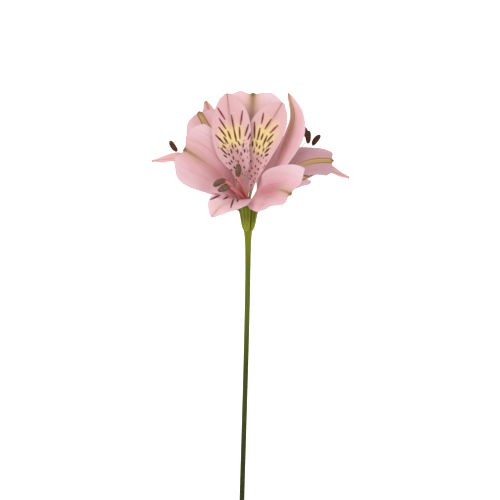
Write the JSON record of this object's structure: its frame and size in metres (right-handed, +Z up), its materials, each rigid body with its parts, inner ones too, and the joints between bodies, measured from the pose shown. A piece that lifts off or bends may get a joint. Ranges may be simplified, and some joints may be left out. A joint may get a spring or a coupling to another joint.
{
  "type": "cut alstroemeria stem",
  "caption": "Cut alstroemeria stem lying on its back: a bare green stalk with an umbel of open pink flowers, streaked and yellow inside, with spread stamens.",
  "frame": {"origin": "middle of the bounding box's underside, on the surface that the stem lies on", "axes": "+Y from the stalk's cut end towards the flowers, +Z up from the surface towards the viewer of the picture, +X to the right in the picture"},
  "size_m": [0.0917, 0.2599, 0.0822],
  "materials": {
    "outer_tepal": "soft matte petal",
    "inner_tepal": "soft matte petal with a yellow blotch and dark streaks",
    "filament": "smooth and fleshy",
    "anther": "powdery matte",
    "stalk": "smooth satin plant skin"
  },
  "bodies": {
    "root": {"front_anther_1": "anther", "front_anther_2": "anther", "front_anther_3": "anther", "front_anther_4": "anther", "front_anther_5": "anther", "front_anther_6": "anther", "front_filament_1": "filament", "front_filament_2": "filament", "front_filament_3": "filament", "front_filament_4": "filament", "front_filament_5": "filament", "front_filament_6": "filament", "front_pistil": "stalk", "front_tepal_inner_left": "inner_tepal", "front_tepal_inner_low": "inner_tepal", "front_tepal_inner_right": "inner_tepal", "front_tepal_outer_left": "outer_tepal", "front_tepal_outer_right": "outer_tepal", "front_tepal_outer_top": "outer_tepal", "left_anther_1": "anther", "left_anther_2": "anther", "left_anther_3": "anther", "left_anther_4": "anther", "left_anther_5": "anther", "left_anther_6": "anther", "left_filament_1": "filament", "left_filament_2": "filament", "left_filament_3": "filament", "left_filament_4": "filament", "left_filament_5": "filament", "left_filament_6": "filament", "left_pistil": "stalk", "left_tepal_inner_back": "inner_tepal", "left_tepal_inner_left": "inner_tepal", "left_tepal_inner_top": "inner_tepal", "left_tepal_outer_back": "outer_tepal", "left_tepal_outer_front": "outer_tepal", "left_tepal_outer_top": "outer_tepal", "right_anther_1": "anther", "right_anther_2": "anther", "right_anther_3": "anther", "right_anther_4": "anther", "right_anther_5": "anther", "right_anther_6": "anther", "right_filament_1": "filament", "right_filament_2": "filament", "right_filament_3": "filament", "right_filament_4": "filament", "right_filament_5": "filament", "right_filament_6": "filament", "right_pistil": "stalk", "right_tepal_inner_front": "inner_tepal", "right_tepal_inner_left": "inner_tepal", "right_tepal_inner_right": "inner_tepal", "right_tepal_outer_back": "outer_tepal", "right_tepal_outer_front": "outer_tepal", "right_tepal_outer_right": "outer_tepal", "stalk": "stalk"}
  },
  "joints": []
}
